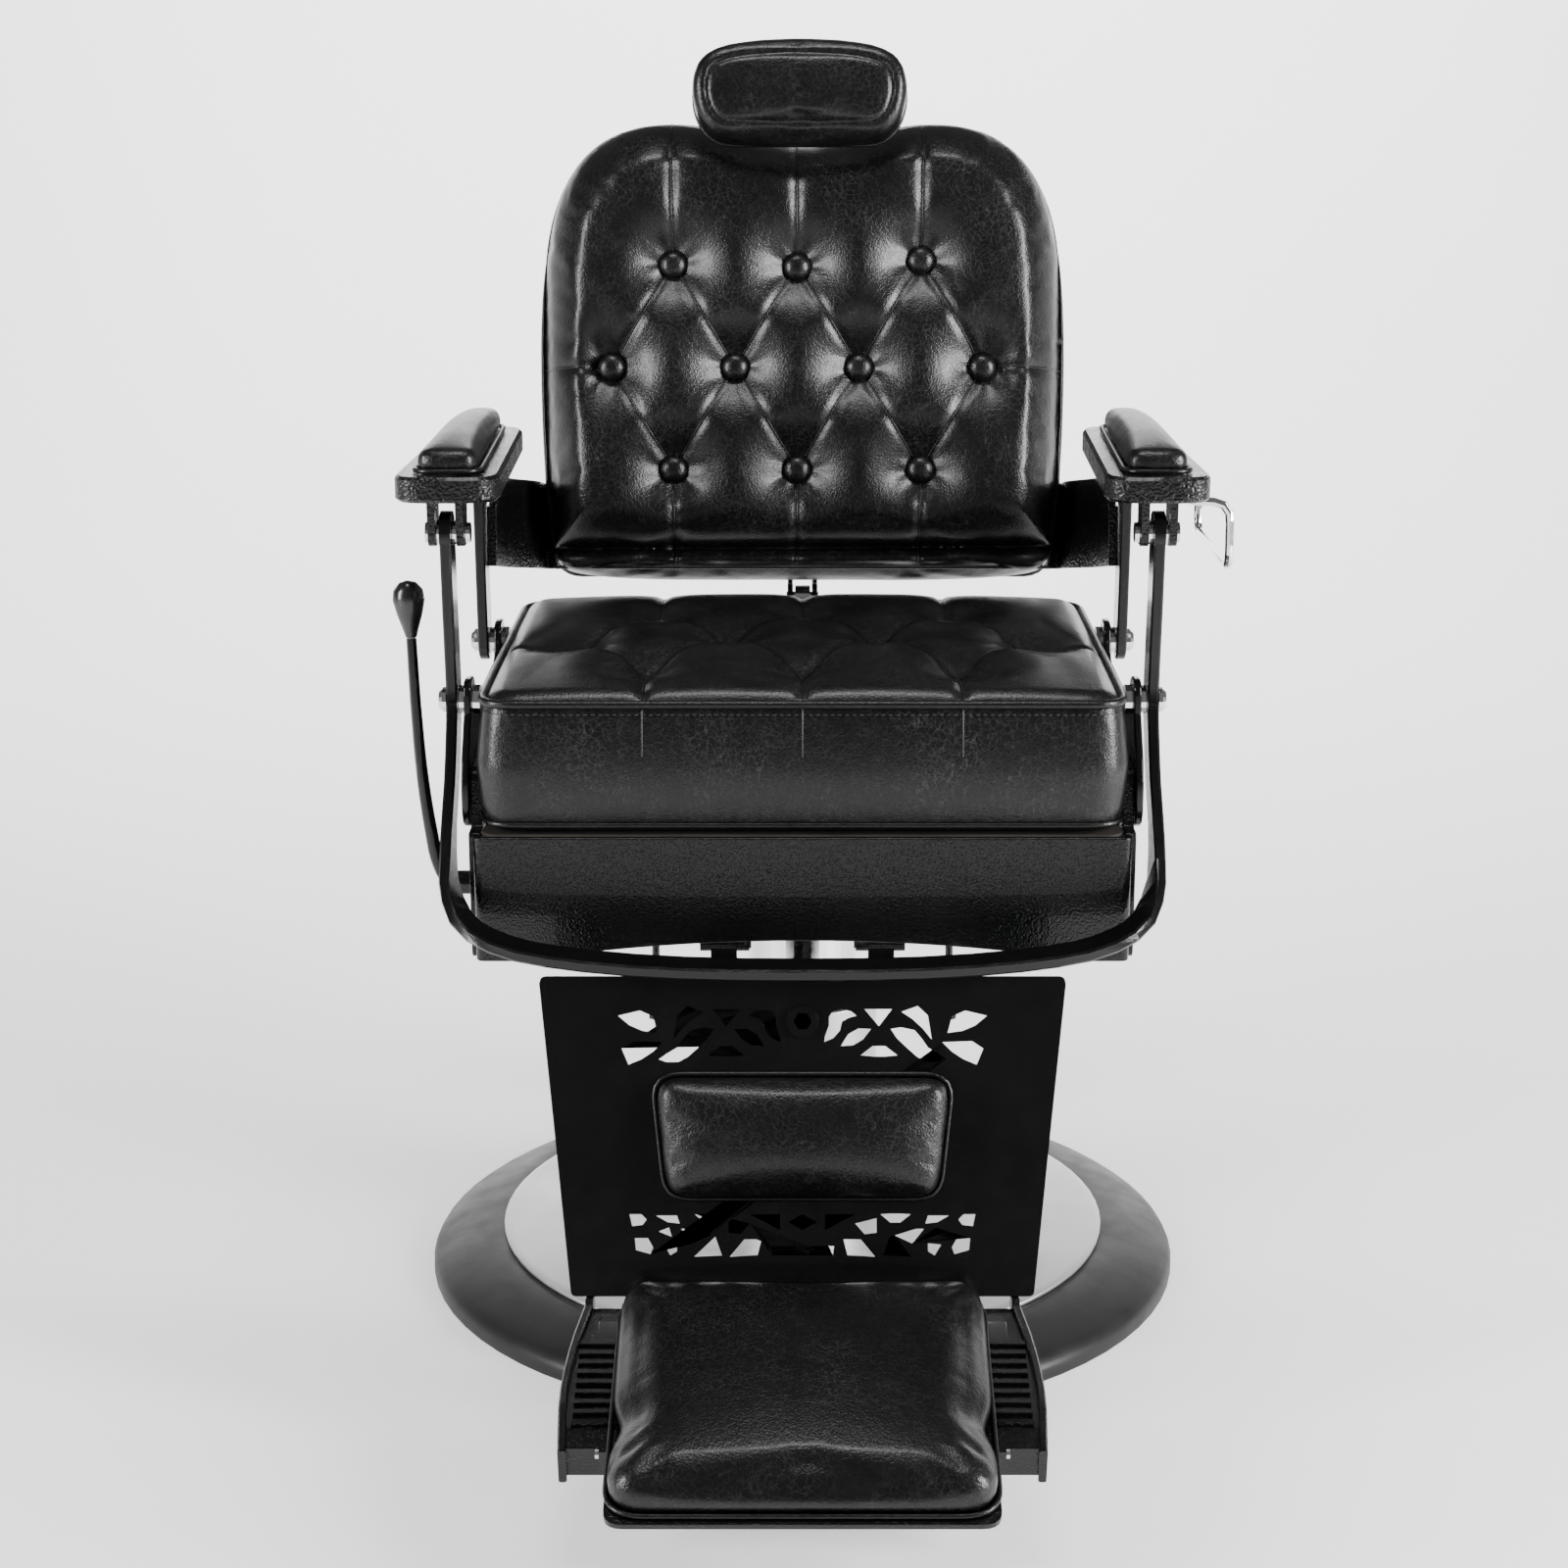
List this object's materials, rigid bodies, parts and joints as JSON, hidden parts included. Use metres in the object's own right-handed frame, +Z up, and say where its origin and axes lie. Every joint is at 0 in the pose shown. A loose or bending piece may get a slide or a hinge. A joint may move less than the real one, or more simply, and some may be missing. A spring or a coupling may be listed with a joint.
{
  "type": "hydraulic barber chair",
  "caption": "Hydraulic barber chair with tufted seat and back, level armrests, headrest, fretwork leg panel and a flip foot pad that swing as it reclines.",
  "frame": {"origin": "centre of the round base, on the floor", "axes": "+X to the sitter's left, +Y to the rear of the chair, +Z up; the sitter faces -Y"},
  "size_m": [0.6726, 1.0113, 1.0626],
  "materials": {
    "painted_frame": "glossy black hammered enamel",
    "painted_base": "satin dark grey-black enamel",
    "brushed_cover": "circular brushed",
    "chrome_steel": "polished",
    "bright_pin": "turned bright steel",
    "black_leather": "semi-gloss, mottled crackle grain",
    "back_cover": "semi-gloss vinyl over a stiff board",
    "black_rubber": "matt ribbed",
    "knob_plastic": "moulded, semi-gloss",
    "plywood": "black-stained plywood"
  },
  "bodies": {
    "base": {"base_plate": "painted_base", "base_ring": "painted_base", "base_cover": "brushed_cover", "pump_cylinder": "painted_base", "column_cover": "brushed_cover", "column_cap": "painted_base", "pump_block": "painted_frame", "pedal_pin": "bright_pin"},
    "plunger": {"pump_plunger": "chrome_steel"},
    "pedal": {"foot_pedal": "painted_frame", "pedal_rubber": "black_rubber"},
    "piston": {"piston": "chrome_steel"},
    "seat": {"swivel_hub": "painted_base", "brake_tube": "painted_frame", "seat_spider": "painted_frame", "front_apron": "painted_frame", "rear_rail": "painted_frame", "seat_board": "plywood", "seat_cushion": "black_leather", "lock_bracket": "painted_frame", "lock_pin_lower": "bright_pin", "side_rail_left": "painted_frame", "side_rail_right": "painted_frame", "ear_plate_left": "painted_frame", "ear_plate_right": "painted_frame", "rear_pivot_left": "chrome_steel", "rear_pivot_right": "chrome_steel", "front_pivot_left": "chrome_steel", "front_pivot_right": "chrome_steel"},
    "lock_barrel": {"lock_barrel": "painted_frame"},
    "lock_rod": {"lock_rod": "chrome_steel"},
    "back": {"back_band": "painted_frame", "back_cushion": "black_leather", "back_shell": "back_cover", "headrest_socket": "painted_frame", "back_bar_left": "painted_frame", "back_bar_right": "painted_frame"},
    "headrest_post": {"headrest_post": "chrome_steel"},
    "headrest": {"headrest_plate": "painted_frame", "headrest_pad": "black_leather"},
    "arm_left": {"arm_board_left": "painted_frame", "arm_pad_left": "black_leather", "arm_pin_front_left": "chrome_steel", "arm_pin_rear_left": "chrome_steel", "towel_bar": "chrome_steel"},
    "arm_right": {"arm_board_right": "painted_frame", "arm_pad_right": "black_leather", "arm_pin_front_right": "chrome_steel", "arm_pin_rear_right": "chrome_steel"},
    "legrest": {"front_hoop": "painted_frame", "leg_panel": "painted_frame", "calf_pad": "black_leather", "footrest_frame": "painted_frame", "footrest_pin": "bright_pin"},
    "foot_flip": {"foot_tray": "painted_frame", "foot_pad": "black_leather"},
    "lever": {"hand_lever": "painted_frame", "lever_knob": "knob_plastic"}
  },
  "joints": [
    {"name": "lift", "type": "slide", "parent": "base", "child": "piston", "axis": [0, 0, 1], "range_m": [0, 0.15]},
    {"name": "swivel", "type": "hinge", "parent": "piston", "child": "seat", "pos_m": [0, 0, 0.34], "axis": [0, 0, 1], "continuous": true},
    {"name": "recline", "type": "hinge", "parent": "seat", "child": "back", "pos_m": [0, 0.058, 0.548], "axis": [-1, 0, 0], "range_deg": [0, 40]},
    {"name": "legrest_swing", "type": "hinge", "parent": "seat", "child": "legrest", "pos_m": [0, -0.172, 0.548], "axis": [-1, 0, 0], "range_deg": [0, 40]},
    {"name": "arm_left_pivot", "type": "hinge", "parent": "back", "child": "arm_left", "pos_m": [0, 0.048, 0.684], "axis": [-1, 0, 0], "range_deg": [-40, 0]},
    {"name": "arm_right_pivot", "type": "hinge", "parent": "back", "child": "arm_right", "pos_m": [0, 0.048, 0.684], "axis": [-1, 0, 0], "range_deg": [-40, 0]},
    {"name": "lock_swing", "type": "hinge", "parent": "seat", "child": "lock_barrel", "pos_m": [0, 0.112, 0.222], "axis": [-1, 0, 0], "range_deg": [0, 5]},
    {"name": "lock_stroke", "type": "slide", "parent": "lock_barrel", "child": "lock_rod", "axis": [0, -0.418, -0.9084], "range_m": [0, 0.138]},
    {"name": "headrest_height", "type": "slide", "parent": "back", "child": "headrest_post", "axis": [0, 0.1908, 0.9816], "range_m": [0, 0.09]},
    {"name": "headrest_tilt", "type": "hinge", "parent": "headrest_post", "child": "headrest", "pos_m": [0, 0.26068, 1.00192], "axis": [-1, 0, 0], "range_deg": [0, 25]},
    {"name": "foot_pad_flip", "type": "hinge", "parent": "legrest", "child": "foot_flip", "pos_m": [0, -0.5984, 0.08458], "axis": [1, 0, 0], "range_deg": [0, 155]},
    {"name": "recline_lever", "type": "hinge", "parent": "seat", "child": "lever", "pos_m": [0, -0.135, 0.385], "axis": [-1, 0, 0], "range_deg": [0, 20], "stiffness_Nm_per_rad": 12, "springref_deg": -5.73},
    {"name": "pedal_press", "type": "hinge", "parent": "base", "child": "pedal", "pos_m": [0, 0.074, 0.102], "axis": [-1, 0, 0], "range_deg": [0, 16], "stiffness_Nm_per_rad": 20, "springref_deg": -14.32},
    {"name": "plunger_stroke", "type": "slide", "parent": "base", "child": "plunger", "axis": [0, 0, -1], "range_m": [0, 0.0072]}
  ],
  "couplings": [
    {"joint": "legrest_swing", "follows": "recline", "ratio": 1},
    {"joint": "arm_left_pivot", "follows": "recline", "ratio": -1},
    {"joint": "arm_right_pivot", "follows": "recline", "ratio": -1},
    {"joint": "lock_swing", "follows": "recline", "ratio": 0.1182},
    {"joint": "lock_stroke", "follows": "recline", "m_per_rad": 0.19702},
    {"joint": "plunger_stroke", "follows": "pedal_press", "m_per_rad": 0.0255}
  ]
}
